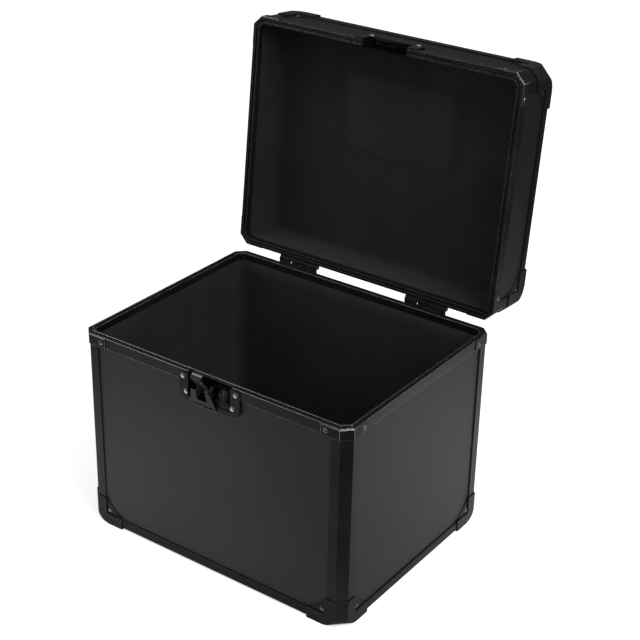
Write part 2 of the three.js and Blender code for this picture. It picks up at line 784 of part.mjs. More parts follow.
// Lever: a flared finger plate that leans out to its forked top, with two ears that turn on the base's
// studs and hold the link pin
function latchLever() {
  const top = bodyHeight - leverTopDrop;
  const bottom = bodyHeight - latchDrop;
  const back = platesFront - runningGap;
  const front = back - leverPlate;
  const centre = mechanismOffset;
  const notchHalf = lugHalfGap - runningGap - earThickness;
  const notchLow = bodyHeight - leverNotchDrop;
  const outline = new THREE.Shape();
  outline.moveTo(centre - leverTopHalf, top);
  outline.lineTo(centre - leverBottomHalf, bottom + leverLip);
  outline.lineTo(centre - leverBottomHalf + leverLip, bottom);
  outline.lineTo(centre + leverBottomHalf - leverLip, bottom);
  outline.lineTo(centre + leverBottomHalf, bottom + leverLip);
  outline.lineTo(centre + leverTopHalf, top);
  outline.lineTo(centre + notchHalf, top);
  outline.lineTo(centre + notchHalf, notchLow + leverNotchRadius);
  outline.quadraticCurveTo(centre + notchHalf, notchLow, centre + notchHalf - leverNotchRadius, notchLow);
  outline.lineTo(centre - notchHalf + leverNotchRadius, notchLow);
  outline.quadraticCurveTo(centre - notchHalf, notchLow, centre - notchHalf, notchLow + leverNotchRadius);
  outline.lineTo(centre - notchHalf, top);
  const backAt = (height) => back - leverLift * ((height - bottom) / (top - bottom));
  const leaned = backAt(top);
  const section = points([back, bottom], [front, bottom], [leaned - leverPlate, top], [leaned, top]);
  const wide = leverBottomHalf + overrun;
  const plate = prism(section, centre - wide, centre + wide, 'x').intersect(
    prism(outline, front - leverLift - overrun, back + overrun, 'y', 4),
  );
  const lip = box(
    [centre - leverTopHalf, centre + leverTopHalf], [front - leverLip, back], [bottom, bottom + leverLip],
  );
  const earOuter = lugHalfGap - runningGap;
  const inPlate = leverPlate / 2;
  const earFoot = notchLow + leverNotchRadius;
  const earOutline = points(
    [backAt(top - leverLip) - inPlate, top - leverLip], [pivotDepth - earRadius, pivotHeight],
    [pivotDepth + earRadius, pivotHeight], [linkDepth + earRadius, linkHeight],
    [linkDepth, linkHeight - earRadius], [backAt(earFoot) - inPlate, earFoot],
  );
  const ears = [-1, 1].map((hand) => {
    const faces = [centre + hand * earOuter, centre + hand * (earOuter - earThickness)];
    const edges = faces.sort((a, b) => a - b);
    return join(
      prism(earOutline, edges[0], edges[1], 'x'),
      bar(earRadius, edges[0], edges[1], 'x', pivotDepth, pivotHeight),
      bar(earRadius, edges[0], edges[1], 'x', linkDepth, linkHeight),
    );
  });
  const reach = lugHalfGap + overrun;
  const boreRadius = latchPinRadius + runningGap;
  const pinHalf = earOuter - earThickness / 2;
  return join(
    cut(
      join(plate, lip, ...ears),
      bar(boreRadius, centre - reach, centre + reach, 'x', pivotDepth, pivotHeight),
    ),
    bar(latchPinRadius, centre - pinHalf, centre + pinHalf, 'x', linkDepth, linkHeight),
  );
}

// Hook: two arms from a knuckle up to a bridge that ends in an inward claw, drawn upright
function latchHook() {
  const half = lugHalfGap - runningGap * 2 - earThickness;
  const low = hookLength - hookBridge;
  const depth = [-hookPlate / 2, hookPlate / 2];
  const arms = [-1, 1].map((hand) => {
    const edges = [hand * half, hand * (half - hookArm)].sort((a, b) => a - b);
    return join(box(edges, depth, [0, low + hookPlate]), bar(hookKnuckle, ...edges, 'x', 0, 0));
  });
  const claw = prism(
    points(
      [-hookPlate / 2, hookLength - hookPlate], [hookClaw - hookClawLip, hookLength - hookPlate],
      [hookClaw - hookClawLip, hookLength - hookPlate - hookClawLip],
      [hookClaw, hookLength - hookPlate - hookClawLip], [hookClaw, hookLength], [-hookPlate / 2, hookLength],
    ),
    -half, half, 'x',
  );
  return cut(
    join(...arms, box([-half, half], depth, [low, hookLength]), claw),
    bar(latchPinRadius + runningGap, -half - overrun, half + overrun, 'x', 0, 0),
  );
}

// Spring: one unbroken wire, curled round the link pin, its long end up behind the hook's bridge
function latchSpring() {
  const stations = springCurls * 8;
  const length = springPitch * springCurls;
  const back = hookPlate / 2 + runningGap + springWire;
  const route = [
    new THREE.Vector3(-length / 2, back, hookLength - hookBridge / 2),
    new THREE.Vector3(-length / 2, springCurl, springCurl * 2),
  ];
  for (let station = 0; station <= stations; station += 1) {
    const turn = (station / stations) * springCurls * Math.PI * 2;
    const x = -length / 2 + (station / stations) * length;
    route.push(new THREE.Vector3(x, springCurl * Math.cos(turn), -springCurl * Math.sin(turn)));
  }
  const foot = new THREE.Vector3(0, -Math.sin(hookLean), -Math.cos(hookLean)).multiplyScalar(springLegDown);
  route.push(route[route.length - 1].clone().add(foot));
  console.log('latch spring, least gap to itself in mm:', leastGap(route, springWire).toFixed(2));
  return wire(route, springWire, 5);
}

// The least clear distance between points of a wire that lie half a curl or more apart along it
function leastGap(route, radius) {
  const apart = 4;
  let least = Infinity;
  for (let first = 0; first < route.length; first += 1) {
    for (let second = first + apart; second < route.length; second += 1) {
      least = Math.min(least, route[first].distanceTo(route[second]) - radius * 2);
    }
  }
  return least;
}

// A round wire through the given points, closed at both ends
function wire(route, radius, ringSides) {
  const count = route.length;
  const positions = [];
  const index = [];
  let across = new THREE.Vector3(1, 0, 0);
  route.forEach((point, station) => {
    const before = route[Math.max(station - 1, 0)];
    const after = route[Math.min(station + 1, count - 1)];
    const along = new THREE.Vector3().subVectors(after, before).normalize();
    across = across.clone().addScaledVector(along, -across.dot(along)).normalize();
    const third = new THREE.Vector3().crossVectors(along, across);
    for (let corner = 0; corner < ringSides; corner += 1) {
      const turn = (corner / ringSides) * Math.PI * 2;
      const spoke = across.clone().multiplyScalar(Math.cos(turn)).addScaledVector(third, Math.sin(turn));
      positions.push(...point.clone().addScaledVector(spoke, radius).toArray());
    }
  });
  for (let station = 0; station < count - 1; station += 1) {
    for (let corner = 0; corner < ringSides; corner += 1) {
      const a = station * ringSides + corner;
      const b = station * ringSides + ((corner + 1) % ringSides);
      index.push(a, b, b + ringSides, a, b + ringSides, a + ringSides);
    }
  }
  for (let corner = 1; corner < ringSides - 1; corner += 1) {
    const last = (count - 1) * ringSides;
    index.push(0, corner + 1, corner, last, last + corner, last + corner + 1);
  }
  const geometry = new THREE.BufferGeometry();
  geometry.setAttribute('position', new THREE.Float32BufferAttribute(positions, 3));
  geometry.setIndex(index);
  geometry.computeVertexNormals();
  return geometry;
}

function lockBarrel() {
  const body = bar(barrelRadius, -barrelProud, barrelLength, 'y', 0, 0);
  const keyway = box(
    [-keywayWidth / 2, keywayWidth / 2],
    [-barrelProud - overrun, keywayDepth],
    [-keywayLength / 2, keywayLength / 2],
  );
  return cut(body, keyway);
}

function latch(parent) {
  const front = turnedGroup(parent, sides[0]);
  front.position.x += latchCentre;
  addMesh(front, 'latch_base', latchBase(), hardwareFinish);
  addMesh(front, 'latch_lever', latchLever(), hardwareFinish);
  const leaning = new THREE.Group();
  leaning.position.set(mechanismOffset, linkDepth, linkHeight);
  leaning.rotation.x = hookLean;
  front.add(leaning);
  addMesh(leaning, 'latch_hook', latchHook(), hardwareFinish);
  addMesh(leaning, 'latch_spring', latchSpring(), brightFinish);
  const barrel = addMesh(front, 'lock_barrel', lockBarrel(), hardwareFinish);
  barrel.position.set(lockOffset, lockDepth, lockHeight);
  barrel.rotation.x = -lockTilt;
}

// Strike: a plate and recess that match the latch, with a U staple for the hook
function lidStrike() {
  const base = lidBase;
  const top = bodyHeight + strikeOpening;
  const half = recessHalfWidth;
  const backing = trimWall;
  const legLine = bodyHeight + rimLegHeight + seatGap;
  const high = bodyHeight + strikeRise;
  const outline = plateOutline(base + latchTopMargin, high, latchTopRadius, strikeCornerRadius);
  const wide = latchWidth / 2 + overrun;
  const plate = cut(
    prism(outline, platesFront, backing, 'y', 5),
    box([-wide, wide], [-seatGap, backing + overrun], [base - overrun, legLine]),
  );
  const panLow = bodyHeight + tongueHeight + grooveClearance;
  const pan = box(
    [-half - recessWall, half + recessWall], [platesFront, recessBack], [panLow, top + recessWall],
  );
  const recess = box([-half, half], [platesFront - overrun, recessDepth], [base - overrun, top]);
  const low = bodyHeight + stapleRise - stapleBar / 2;
  const left = stapleOffset - stapleHalfWidth;
  const right = stapleOffset + stapleHalfWidth;
  const staple = cut(
    prism(
      points(
        [left, top + recessWall / 2], [left, low + stapleBar / 2], [left + stapleBar / 2, low],
        [right - stapleBar / 2, low], [right, low + stapleBar / 2], [right, top + recessWall / 2],
      ),
      stapleDepth - stapleBar / 2, stapleDepth + stapleBar / 2, 'y',
    ),
    box([left + stapleBar, right - stapleBar], [0, recessDepth], [low + stapleBar, top]),
  );
  const rivets = join(
    ...[-1, 1].map((hand) => rivet(hand * strikeRivet.x, platesFront, bodyHeight + strikeRivet.y)),
  );
  return join(cut(join(plate, pan), recess), staple, rivets);
}

// Hinge leaves are drawn in the frame of the back side, where x is reversed and y runs in
function hingeRivets(centre, height) {
  const face = -(seatGap + hingeLeaf);
  return join(
    ...[-1, 1].map((hand) => rivet(centre + hand * hingeRivetSpacing / 2, face, height)),
  );
}

function hingeBodyLeaf(centre) {
  const out = -(seatGap + hingeLeaf);
  const axisHeight = bodyHeight + hingeAxisUp;
  const half = hingeWidth / 2;
  const low = bodyHeight - hingeLeafLength;
  const legLine = bodyHeight - rimLegHeight - seatGap;
  const middle = lidKnuckleHalf + runningGap;
  const relief = bodyHeight + hingeAxisUp - knuckleRadius * 1.5;
  const leaf = cut(
    join(
      box([centre - half, centre + half], [out, -seatGap], [low, axisHeight]),
      box([centre - half, centre + half], [out, trimWall], [low, legLine]),
      bar(knuckleRadius, centre - half, centre + half, 'x', -hingeAxisOut, axisHeight),
    ),
    box(
      [centre - middle, centre + middle], [-hingeAxisOut * 3, overrun],
      [relief, axisHeight + overrun * 3],
    ),
  );
  const pin = bar(hingePinRadius, centre - half, centre + half, 'x', -hingeAxisOut, axisHeight);
  return join(leaf, pin, hingeRivets(centre, low + hingeRivetFromEnd));
}

function hingeLidLeaf(centre) {
  const out = -(seatGap + hingeLeaf);
  const axisHeight = bodyHeight + hingeAxisUp;
  const half = hingeWidth / 2;
  const high = bodyHeight + hingeLeafLength + hingeAxisUp;
  const legLine = bodyHeight + rimLegHeight + seatGap;
  const middle = lidKnuckleHalf;
  const clear = axisHeight + knuckleRadius + runningGap;
  const tailInner = hingeAxisOut - hingeLeaf - seatGap * 2;
  const tail = box([-middle, middle], [tailInner - stopTailThickness, tailInner], [-stopTailLength, 0]);
  const tailGeometry = toGeometry(tail).rotateX(-openAngle).translate(centre, -hingeAxisOut, axisHeight);
  const leaf = join(
    box([centre - half, centre + half], [out, -seatGap], [clear, high]),
    box([centre - half, centre + half], [out, trimWall], [legLine, high]),
    box([centre - middle, centre + middle], [out, -seatGap], [axisHeight, high]),
    bar(knuckleRadius, centre - middle, centre + middle, 'x', -hingeAxisOut, axisHeight),
    toSolid(tailGeometry),
    hingeRivets(centre, high - hingeRivetFromEnd),
  );
  const bore = bar(
    hingePinRadius + runningGap, centre - middle - overrun, centre + middle + overrun, 'x',
    -hingeAxisOut, axisHeight,
  );
  return cut(leaf, bore);
}

function hinges(bodyParent, lidParent) {
  const back = sides[2];
  for (const [name, centre] of [['left', hingeSpread], ['right', -hingeSpread]]) {
    addMesh(turnedGroup(bodyParent, back), 'hinge_body_leaf_' + name, hingeBodyLeaf(centre), hardwareFinish);
    addMesh(turnedGroup(lidParent, back), 'hinge_lid_leaf_' + name, hingeLidLeaf(centre), hardwareFinish);
  }
}

// Handle pieces are drawn round the middle of the dish, with z down from the top panel's outer face
const dishLevel = lidTop - panelOuter;
const pivotLine = new THREE.Vector2(-handlePivotBack, dishLevel - handlePivotDepth);
const gripLine = new THREE.Vector2(gripForward, dishLevel - gripSink);

function handleDish() {
  const halfWidth = dishWidth / 2;
  const halfLength = dishLength / 2;
  const flangeOutline = roundedRectangle(halfWidth + dishFlange, halfLength + dishFlange, dishFlangeRadius);
  const flangeLow = dishLevel + seatGap;
  const flangeHigh = flangeLow + dishPlate;
  const floor = dishLevel - dishDepth;
  const lugOutline = points(
    [pivotLine.x - handleLugHalf, floor - dishPlate / 2], [pivotLine.x - handleLugHalf, pivotLine.y],
    [pivotLine.x - handleLugHalf / 2, dishLevel], [pivotLine.x + handleLugHalf / 2, dishLevel],
    [pivotLine.x + handleLugHalf, pivotLine.y], [pivotLine.x + handleLugHalf, floor - dishPlate / 2],
  );
  const lugInner = bailHalfWidth + bailRadius + runningGap;
  const lugs = [-1, 1].map((hand) => {
    const edges = [hand * lugInner, hand * (lugInner + handleLug)].sort((a, b) => a - b);
    return prism(lugOutline, edges[0], edges[1], 'x');
  });
  const shell = cut(
    join(
      prism(flangeOutline, flangeLow, flangeHigh, 'z', 4),
      prism(roundedRectangle(halfWidth, halfLength, dishRadius), floor - dishPlate, flangeHigh, 'z', 3),
    ),
    prism(
      roundedRectangle(halfWidth - dishPlate, halfLength - dishPlate, dishRadius - dishPlate),
      floor, flangeHigh + overrun, 'z', 3,
    ),
  );
  const reach = lugInner + handleLug + overrun;
  return cut(
    join(shell, ...lugs),
    bar(bailRadius + runningGap, -reach, reach, 'x', pivotLine.x, pivotLine.y, 16),
  );
}

// Bail: one bent bar from stub to stub, through two arms and the bar that carries the grip
function handleBail() {
  const route = new THREE.CurvePath();
  const half = bailHalfWidth;
  const end = half + bailStub;
  const at = (x, line) => new THREE.Vector3(x, line.x, line.y);
  const along = new THREE.Vector2().subVectors(gripLine, pivotLine).normalize().multiplyScalar(bailBend);
  const nearPivot = pivotLine.clone().add(along);
  const nearGrip = gripLine.clone().sub(along);
  const addLine = (from, to) => route.add(new THREE.LineCurve3(from, to));
  const addBend = (from, corner, to) => route.add(new THREE.QuadraticBezierCurve3(from, corner, to));
  addLine(at(-end, pivotLine), at(-half - bailBend / 4, pivotLine));
  addBend(at(-half - bailBend / 4, pivotLine), at(-half, pivotLine), at(-half, nearPivot));
  addLine(at(-half, nearPivot), at(-half, nearGrip));
  addBend(at(-half, nearGrip), at(-half, gripLine), at(-half + bailBend, gripLine));
  addLine(at(-half + bailBend, gripLine), at(half - bailBend, gripLine));
  addBend(at(half - bailBend, gripLine), at(half, gripLine), at(half, nearGrip));
  addLine(at(half, nearGrip), at(half, nearPivot));
  addBend(at(half, nearPivot), at(half, pivotLine), at(half + bailBend / 4, pivotLine));
  addLine(at(half + bailBend / 4, pivotLine), at(end, pivotLine));
  const section = new THREE.Shape();
  section.absarc(0, 0, bailRadius, 0, Math.PI * 2);
  const options = { extrudePath: route, steps: 48, curveSegments: 5, bevelEnabled: false };
  return new THREE.ExtrudeGeometry(section, options);
}

// Grip: a moulded sleeve, fuller at its ends, on the bail's bar
function handleGrip() {
  const half = gripLength / 2;
  const bore = bailRadius + runningGap;
  const edge = gripRadius - gripWaist;
  const profile = points(
    [bore, -half], [gripRadius - edge, -half], [gripRadius, -half + edge], [gripRadius, -half + edge * 4],
    [gripWaist, -half + edge * 7], [gripWaist, half - edge * 7], [gripRadius, half - edge * 4],
    [gripRadius, half - edge], [gripRadius - edge, half], [bore, half], [bore, -half],
  );
  const geometry = new THREE.LatheGeometry(profile, 20);
  geometry.rotateZ(-Math.PI / 2);
  geometry.translate(0, gripLine.x, gripLine.y);
  return geometry;
}

function handle(parent) {
  const group = new THREE.Group();
  group.position.y = -handleForward;
  parent.add(group);
  addMesh(group, 'handle_dish', handleDish(), hardwareFinish);
  addMesh(group, 'handle_bail', handleBail(), hardwareFinish);
  addMesh(group, 'handle_grip', handleGrip(), gripFinish);
}

const carryingCase = new THREE.Group();

const body = new THREE.Group();
carryingCase.add(body);
bodyPanels(body);
cornerPieces(body, false);
addMesh(body, 'rim_frame', bodyRim(), trimFinish);
addMesh(body, 'body_lining', bodyLining(), liningFinish);
latch(body);

// The lid is drawn closed, then swung back about the hinge axis
const lidSwing = new THREE.Group();
lidSwing.position.copy(hingeAxis);
lidSwing.rotation.x = -openAngle;
carryingCase.add(lidSwing);
const lid = new THREE.Group();
lid.position.copy(hingeAxis).negate();
lidSwing.add(lid);
lidPanels(lid);
cornerPieces(lid, true);
addMesh(lid, 'lid_rim_frame', lidRim(), trimFinish);
addMesh(lid, 'lid_lining', lidLining(), liningFinish);
const strike = addMesh(turnedGroup(lid, sides[0]), 'lid_strike', lidStrike(), hardwareFinish);
strike.position.x = latchCentre;
hinges(body, lid);
handle(lid);

// The origin is the middle of the footprint of the open case, on the surface that it stands on
const bounds = new THREE.Box3().setFromObject(carryingCase, true);
const middle = bounds.getCenter(new THREE.Vector3());
carryingCase.position.set(-middle.x, -middle.y, -bounds.min.z);

export default carryingCase;
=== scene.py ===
import json
import math

import bmesh
import bpy
from mathutils import Matrix, Vector
from mathutils.kdtree import KDTree


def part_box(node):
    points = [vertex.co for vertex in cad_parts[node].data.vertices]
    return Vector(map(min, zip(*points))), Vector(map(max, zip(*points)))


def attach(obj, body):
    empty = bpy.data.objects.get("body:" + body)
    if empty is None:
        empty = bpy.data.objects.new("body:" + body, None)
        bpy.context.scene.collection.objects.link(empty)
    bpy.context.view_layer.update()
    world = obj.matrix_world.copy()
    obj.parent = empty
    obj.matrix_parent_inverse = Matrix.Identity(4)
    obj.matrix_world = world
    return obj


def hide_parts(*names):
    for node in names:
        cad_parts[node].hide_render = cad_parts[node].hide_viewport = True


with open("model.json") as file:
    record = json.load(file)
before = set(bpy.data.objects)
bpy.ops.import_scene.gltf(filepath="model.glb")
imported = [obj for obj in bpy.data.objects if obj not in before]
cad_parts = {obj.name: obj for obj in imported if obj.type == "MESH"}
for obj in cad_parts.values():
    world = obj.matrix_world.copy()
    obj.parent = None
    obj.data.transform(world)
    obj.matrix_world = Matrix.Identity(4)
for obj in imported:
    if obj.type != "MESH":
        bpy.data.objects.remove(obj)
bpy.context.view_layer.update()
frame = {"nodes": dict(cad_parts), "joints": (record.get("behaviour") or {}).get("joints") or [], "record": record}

# Camera, in degrees and metres: where it looks from, what it looks at and its lens
AZIMUTH, ELEVATION, ROLL = 35.201, 26.942, 1.278
DISTANCE = 1.8703
TARGET = Vector((0.0016, 0.0198, 0.2566))
LENS, SENSOR = 84.61, 36.0

# In reflections the pale table is bright near the case and falls off to the dark studio round it
TABLE_NEAR, TABLE_FAR = 0.45, 1.0
TABLE_LIFT = 0.5
# The table ends towards the camera, so faces that look that way mirror dark surroundings
TABLE_EDGE_SIDE = Vector((0.74, -0.67, 0.0))
TABLE_EDGE_NEAR, TABLE_EDGE_FAR = 0.04, 0.44
STUDIO_LIGHT, STUDIO_REFLECTED = 0.55, 0.10

# Soft lamps: place, what they face, size and power
KEY = ((1.6, -0.4, 1.7), (0, 0, 0.15), (1.4, 1.4), 35.0)
FILL = ((-1.8, -1.4, 1.4), (0, 0, 0.2), (1.6, 1.6), 11.5)
FLOOR_HALF = 12.0

# The case, in metres, as it stands shut: outside sizes, and where the hinge axis lies behind the back
CASE_WIDTH, CASE_DEPTH, BODY_HEIGHT, LID_HEIGHT = 0.389, 0.304, 0.2682, 0.0737
HINGE_OUT, OPEN_ANGLE = 0.0045, 96.0

# Linings: the face's inset from the outside, its thickness, its corners and its turn at the closed end
LINING_FACE, LINING_THICK = 0.0083, 0.0011
LINING_CORNER, LINING_TURN = 0.0112, 0.006
LINING_STEP, CORNER_STEPS, WALL_STEPS, TURN_STEPS, FLOOR_RINGS = 0.009, 5, 16, 5, 36
FLOOR_FACE, RIM_INSIDE = 0.0097, 0.0103
LATCH_CENTRE, RECESS_HALF = 0.0024, 0.0330
RECESS_DROP, STRIKE_RISE = 0.0354, 0.0224

# The swelling in the lid's lining over the back of the handle dish
SWELL_HALF, SWELL_CORNER, SWELL_MIDDLE = (0.0746, 0.0436), 0.007, -0.045
SWELL_HEIGHT, SWELL_FADE = 0.0077, 0.018

# Edges and rivet heads
WELD, EDGE_ROUND, EDGE_STEPS, EDGE_ANGLE = 0.00001, 0.0004, 2, 32
RIVET_RING, RIVET_REACH = (0.0015, 0.0028), 0.0034
RIVET_SIDES = 8

# The painted highlight band at the hook's top, and how deep the painted shade in the recess starts
HOOK_HIGHLIGHT_BAND = 0.0016
RECESS_SHADE_START = 0.0036


def add_camera():
    az, el, roll = (math.radians(a) for a in (AZIMUTH, ELEVATION, ROLL))
    back = Vector((math.sin(az) * math.cos(el), -math.cos(az) * math.cos(el), math.sin(el)))
    right = (-back).cross(Vector((0, 0, 1))).normalized()
    up = right.cross(-back).normalized()
    across = right * math.cos(roll) + up * math.sin(roll)
    above = up * math.cos(roll) - right * math.sin(roll)
    data = bpy.data.cameras.new("camera")
    data.lens = LENS
    data.sensor_width = SENSOR
    data.clip_start, data.clip_end = 0.05, 60.0
    camera = bpy.data.objects.new("camera", data)
    turn = Matrix((across, above, back)).transposed().to_4x4()
    camera.matrix_world = Matrix.Translation(TARGET + back * DISTANCE) @ turn
    bpy.context.scene.collection.objects.link(camera)
    bpy.context.scene.camera = camera


class Nodes:
    """A material's node tree with short calls to add and link nodes."""

    def __init__(self, name):
        self.material = bpy.data.materials.new(name)
        self.material.use_nodes = True
        self.tree = self.material.node_tree
        self.shader = self.tree.nodes["Principled BSDF"]
        coordinates = self.tree.nodes.new("ShaderNodeTexCoord")
        self.place = coordinates.outputs["Object"]

    def add(self, kind, **inputs):
        node = self.tree.nodes.new(kind)
        for key, value in inputs.items():
            self.put(node, key.replace("_", " "), value)
        return node

    def put(self, node, socket, value):
        if isinstance(value, bpy.types.NodeSocket):
            self.tree.links.new(value, node.inputs[socket])
        else:
            node.inputs[socket].default_value = value

    def stretched(self, scale):
        node = self.add("ShaderNodeMapping", Vector=self.place)
        node.inputs["Scale"].default_value = scale
        return node.outputs["Vector"]

    def noise(self, scale, detail=2.0, roughness=0.5, place=None):
        node = self.add("ShaderNodeTexNoise", Vector=place or self.place)
        self.put(node, "Scale", scale)
        self.put(node, "Detail", detail)
        self.put(node, "Roughness", roughness)
        return node.outputs["Fac"]

    def cells(self, scale, feature="F1", place=None):
        node = self.add("ShaderNodeTexVoronoi", Vector=place or self.place)
        node.feature = feature
        self.put(node, "Scale", scale)
        return node.outputs["Distance"]

    def spread(self, value, low, high, start=0.0, end=1.0):
        node = self.add("ShaderNodeMapRange", Value=value)
        self.put(node, "From Min", start)
        self.put(node, "From Max", end)
        self.put(node, "To Min", low)
        self.put(node, "To Max", high)
        return node.outputs["Result"]

    def blend(self, factor, first, second):
        node = self.tree.nodes.new("ShaderNodeMix")
        node.data_type = "RGBA"
        self.put(node, 0, factor)
        self.put(node, 6, first)
        self.put(node, 7, second)
        return node.outputs[2]

    def sum(self, first, second, share=1.0):
        node = self.tree.nodes.new("ShaderNodeMath")
        node.operation = "MULTIPLY_ADD"
        self.put(node, 0, second)
        self.put(node, 1, share)
        self.put(node, 2, first)
        return node.outputs[0]

    def bump(self, height, depth, strength=1.0):
        node = self.add("ShaderNodeBump", Height=height)
        self.put(node, "Distance", depth)
        self.put(node, "Strength", strength)
        self.put(self.shader, "Normal", node.outputs["Normal"])

    def set(self, **values):
        for key, value in values.items():
            self.put(self.shader, key.replace("_", " "), value)
        return self


def grey(level, blue=1.0):
    return (level, level, level * blue, 1.0)


def laminate():
    n = Nodes("laminate")
    pebbles = n.cells(950.0, "SMOOTH_F1")
    grain = n.noise(330.0, 3.0, 0.6)
    fine = n.noise(2600.0, 3.0)
    cloud = n.noise(9.0, 4.0)
    n.set(Base_Color=n.blend(n.spread(cloud, 0.0, 1.0, 0.35, 0.65), grey(0.008, 1.03), grey(0.012, 1.04)))
    n.set(Roughness=n.sum(n.spread(fine, 0.34, 0.48), cloud, 0.06))
    n.bump(n.sum(n.sum(pebbles, fine, 0.5), grain, 1.2), 0.00016, 0.9)
    return n.material


def anodised(name, gloss):
    n = Nodes(name)
    lines = n.noise(900.0, 3.0, 0.6, n.stretched((1.0, 1.0, 0.03)))
    cloud = n.noise(16.0, 4.0)
    n.set(Base_Color=n.blend(n.spread(cloud, 0.0, 1.0, 0.35, 0.65), grey(0.005, 1.05), grey(0.009, 1.05)))
    n.set(Specular_IOR_Level=gloss)
    n.set(Roughness=n.sum(n.spread(cloud, 0.20, 0.28), lines, 0.05))
    n.bump(lines, 0.00001, 0.35)
    return n.material


def powder_coat():
    n = Nodes("black_hardware")
    peel = n.noise(620.0, 2.0)
    cloud = n.noise(30.0, 4.0)
    n.set(Base_Color=n.blend(n.spread(cloud, 0.0, 1.0, 0.35, 0.65), grey(0.006, 1.04), grey(0.012, 1.04)))
    n.set(Specular_IOR_Level=0.2)
    n.set(Roughness=n.spread(cloud, 0.20, 0.32))
    n.bump(peel, 0.00003, 0.5)
    return n.material


def plated(name, level, rough):
    n = Nodes(name)
    scratches = n.noise(1500.0, 3.0, 0.6, n.stretched((0.08, 1.0, 1.0)))
    cloud = n.noise(120.0, 3.0)
    n.set(Base_Color=n.blend(cloud, grey(level * 0.75, 1.02), grey(level, 1.02)))
    n.set(Metallic=1.0)
    n.set(Roughness=n.sum(n.spread(cloud, rough * 0.8, rough * 1.3), scratches, 0.08))
    n.bump(scratches, 0.00001, 0.4)
    return n.material


def lining():
    n = Nodes("lining")
    nap = n.noise(1500.0, 4.0, 0.7)
    cloud = n.noise(14.0, 3.0)
    n.set(Base_Color=n.blend(n.spread(cloud, 0.0, 1.0, 0.35, 0.65), grey(0.006, 1.02), grey(0.010, 1.02)))
    n.set(Roughness=n.spread(nap, 0.82, 0.96))
    n.set(Sheen_Weight=0.05)
    n.set(Sheen_Roughness=0.6)
    n.set(Specular_IOR_Level=0.25)
    n.bump(nap, 0.00025, 0.7)
    return n.material


def rubber():
    n = Nodes("grip_rubber")
    grain = n.noise(900.0, 3.0)
    n.set(Base_Color=n.blend(grain, grey(0.014), grey(0.022)))
    n.set(Roughness=n.spread(grain, 0.62, 0.8))
    n.bump(grain, 0.00006, 0.6)
    return n.material


def painted_edge_highlight(name, dark, bright, rough):
    """Painted highlight: bright bare-metal colour along the sharp outward edges, standing in for edge highlights;
    the inward edges stay dark.
    """
    n = Nodes(name)
    sharpness = n.tree.nodes.new("ShaderNodeNewGeometry").outputs["Pointiness"]
    patches = n.noise(140.0, 4.0, 0.6)
    # painted highlight mask: bright metal colour where the surface is sharpest, broken up by noise patches
    highlight_mask = n.spread(n.sum(sharpness, patches, 0.06), 0.0, 1.0, 0.53, 0.58)
    n.set(Base_Color=n.blend(highlight_mask, grey(dark, 1.04), grey(bright, 1.02)))
    n.set(Metallic=highlight_mask)
    n.set(Roughness=n.spread(patches, rough * 0.8, rough * 1.2))
    n.set(Specular_IOR_Level=0.4)
    n.bump(n.noise(1200.0, 2.0), 0.00001, 0.4)
    return n.material


def hook_top_highlight():
    """The hook: black paint, with a painted highlight: a bright bare-steel band along the top of the bar."""
    n = Nodes("latch_hook_painted_highlight")
    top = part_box("latch_hook")[1].z
    height = n.tree.nodes.new("ShaderNodeSeparateXYZ")
    n.put(height, 0, n.place)
    # painted highlight: the top band of the bar turns bright metal
    top_highlight = n.spread(height.outputs["Z"], 0.0, 1.0, top - HOOK_HIGHLIGHT_BAND, top - HOOK_HIGHLIGHT_BAND * 0.7)
    peel = n.noise(620.0, 2.0)
    n.set(Base_Color=n.blend(top_highlight, grey(0.010, 1.04), grey(0.52, 1.02)))
    n.set(Metallic=top_highlight)
    n.set(Roughness=n.spread(peel, 0.34, 0.46))
    n.bump(peel, 0.00002, 0.5)
    return n.material


MATERIALS = {
    "laminate_panel": laminate(),
    "edge_trim": anodised("edge_trim", 0.3),
    "black_hardware": powder_coat(),
    "bright_steel": plated("bright_steel", 0.82, 0.32),
    "lining": lining(),
    "grip": rubber(),
}
# Painted highlight materials for the bevelled edges of trims and hardware
EDGE_HIGHLIGHTS = {
    "edge_trim": painted_edge_highlight("edge_trim_painted_highlight", 0.008, 0.50, 0.26),
    "black_hardware": painted_edge_highlight("black_hardware_painted_highlight", 0.010, 0.55, 0.24),
}


# Painted shade: a near-black colour for the faces deep inside the latch recess and the lower faces of the strike
def recess_painted_shade():
    n = Nodes("recess_painted_shade")
    peel = n.noise(620.0, 2.0)
    n.set(Base_Color=n.blend(peel, grey(0.0012), grey(0.0025)))
    n.set(Roughness=n.spread(peel, 0.6, 0.8))
    n.set(Specular_IOR_Level=0.05)
    n.bump(peel, 0.00003, 0.4)
    return n.material


# the hook's material, with its painted top highlight
HOOK_HIGHLIT = hook_top_highlight()
# A less reflective copy of the trim finish for the bottom edges: painted shade near the floor
LOW_EDGE_SHADED = anodised("edge_trim_low_shaded", 0.17)
# A fainter painted edge highlight for the corner and edge trims
CORNER_TRIM_HIGHLIGHT = painted_edge_highlight("corner_trim_painted_highlight", 0.008, 0.07, 0.28)
RIVET = plated("rivet_nickel", 0.92, 0.24)
DARK_RIVET = plated("rivet_dark", 0.26, 0.16)
# the painted shade for the recess faces
RECESS_SHADE = recess_painted_shade()


def rivet_tops(mesh):
    """The crowns of a node's rivet heads: points with a ring of faces round them."""
    welded = bmesh.new()
    welded.from_mesh(mesh)
    bmesh.ops.remove_doubles(welded, verts=welded.verts, dist=WELD)
    tops = []
    for v in welded.verts:
        reach = [e.calc_length() for e in v.link_edges]
        if len(reach) < RIVET_SIDES or max(reach) - min(reach) > WELD * 10:
            continue
        if RIVET_RING[0] < max(reach) < RIVET_RING[1]:
            tops.append(v.co.copy())
    welded.free()
    return tops


